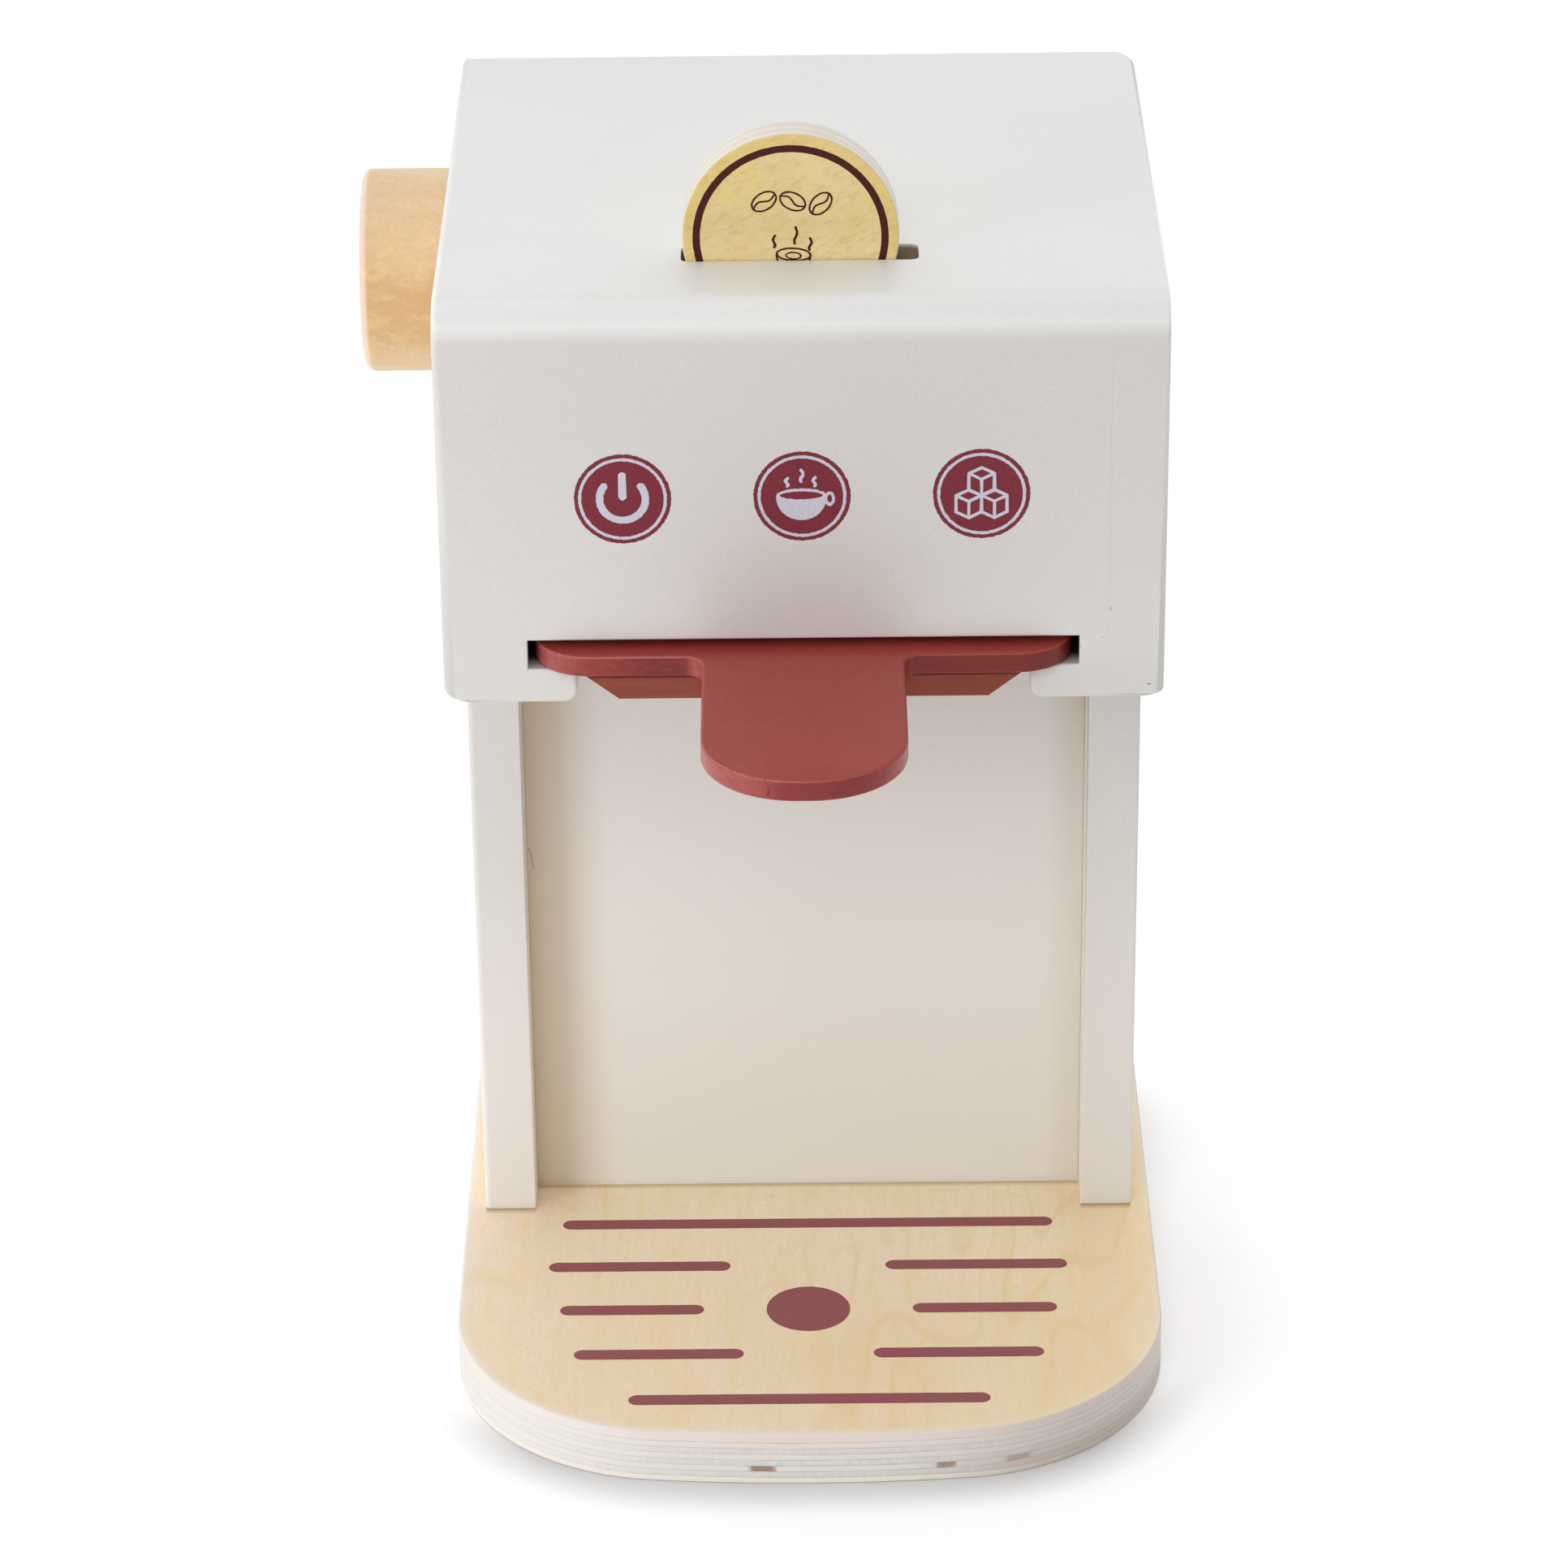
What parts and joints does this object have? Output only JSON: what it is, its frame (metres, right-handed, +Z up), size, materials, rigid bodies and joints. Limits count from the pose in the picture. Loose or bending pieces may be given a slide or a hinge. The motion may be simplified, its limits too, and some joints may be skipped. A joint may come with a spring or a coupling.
{
  "type": "toy coffee maker",
  "caption": "Wooden toy coffee maker: painted board body on a bowed plywood base, with a pull-out portafilter, a lift-out token in the top and a turning side knob.",
  "frame": {"origin": "centre of the base plate's underside, on the surface it stands on", "axes": "+Z up, +Y towards the machine's back, +X towards the right as seen from the front"},
  "size_m": [0.1525, 0.1871, 0.2574],
  "materials": {
    "paint": "satin off-white paint on board",
    "plywood": "lacquered maple-faced plywood",
    "beech": "clear-lacquered beech",
    "block_wood": "bare softwood",
    "red_paint": "satin red-brown paint on plywood",
    "brown_stain": "red-brown stained wood",
    "token_wood": "lacquered thin plywood, printed",
    "screw_steel": "zinc-plated"
  },
  "bodies": {
    "machine": {"base_plate": "plywood", "left_side_board": "paint", "right_side_board": "paint", "column_panel": "paint", "back_panel": "paint", "front_panel": "paint", "top_panel": "paint", "left_runner": "paint", "right_runner": "paint", "token_block": "block_wood", "base_screws": "screw_steel", "panel_dowels": "beech"},
    "portafilter": {"portafilter_plate": "red_paint", "portafilter_basket": "brown_stain"},
    "token": {"token": "token_wood"},
    "knob": {"knob": "beech", "knob_axle": "beech", "knob_collar": "beech"}
  },
  "joints": [
    {"name": "portafilter_slide", "type": "slide", "parent": "machine", "child": "portafilter", "axis": [0, -1, 0], "range_m": [0, 0.07]},
    {"name": "token_lift", "type": "slide", "parent": "machine", "child": "token", "axis": [0, 0, 1], "range_m": [0, 0.015]},
    {"name": "knob_turn", "type": "hinge", "parent": "machine", "child": "knob", "pos_m": [-0.0652, 0.04, 0.2024], "axis": [-1, 0, 0], "continuous": true}
  ]
}
